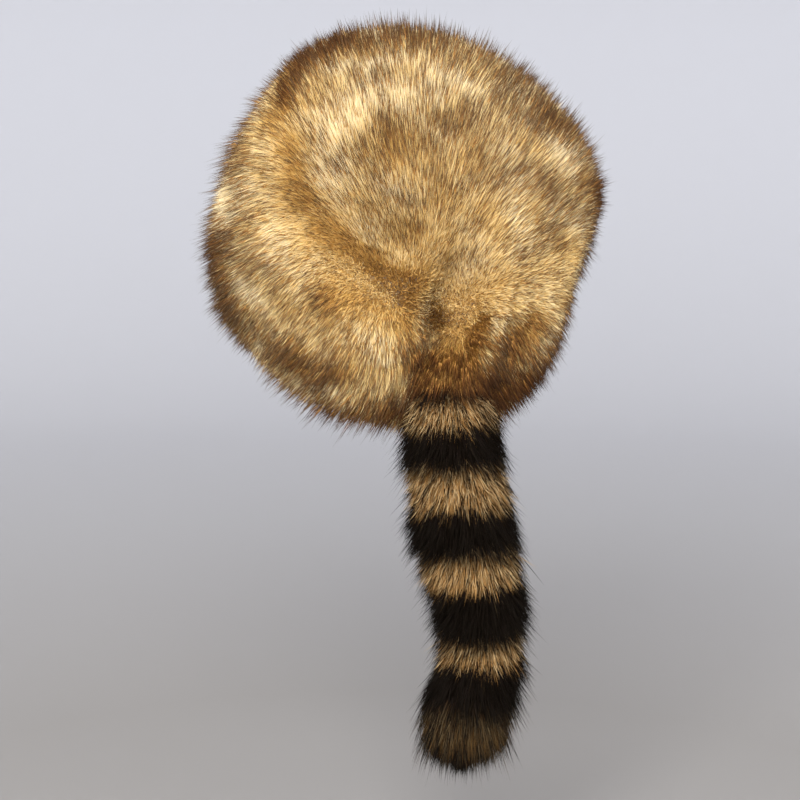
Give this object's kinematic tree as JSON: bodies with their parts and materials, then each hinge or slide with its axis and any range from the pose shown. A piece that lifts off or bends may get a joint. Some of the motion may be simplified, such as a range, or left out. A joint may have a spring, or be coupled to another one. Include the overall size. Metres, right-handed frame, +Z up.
{
  "type": "faux fur cap with ringed tail",
  "caption": "Round slouching cap of deep straw and brown faux fur, worn tipped back, with a long ringed fur tail hanging from the back of its band.",
  "frame": {"origin": "centre of the head opening, on the plane of the rim, where the wearer's head holds the cap", "axes": "+Z up as worn, the wearer faces along -Y, +X towards the wearer's left"},
  "size_m": [0.2594, 0.2693, 0.4773],
  "materials": {
    "backing_cloth": "matt brushed knit",
    "straw_fur": "soft long pile, straw with brown tips",
    "tail_fur": "soft long pile, tan and near-black rings"
  },
  "bodies": {
    "root": {"side_wall": "backing_cloth", "crown_wall": "backing_cloth", "side_fur": "straw_fur", "crown_fur": "straw_fur", "tail": "tail_fur"}
  },
  "joints": []
}
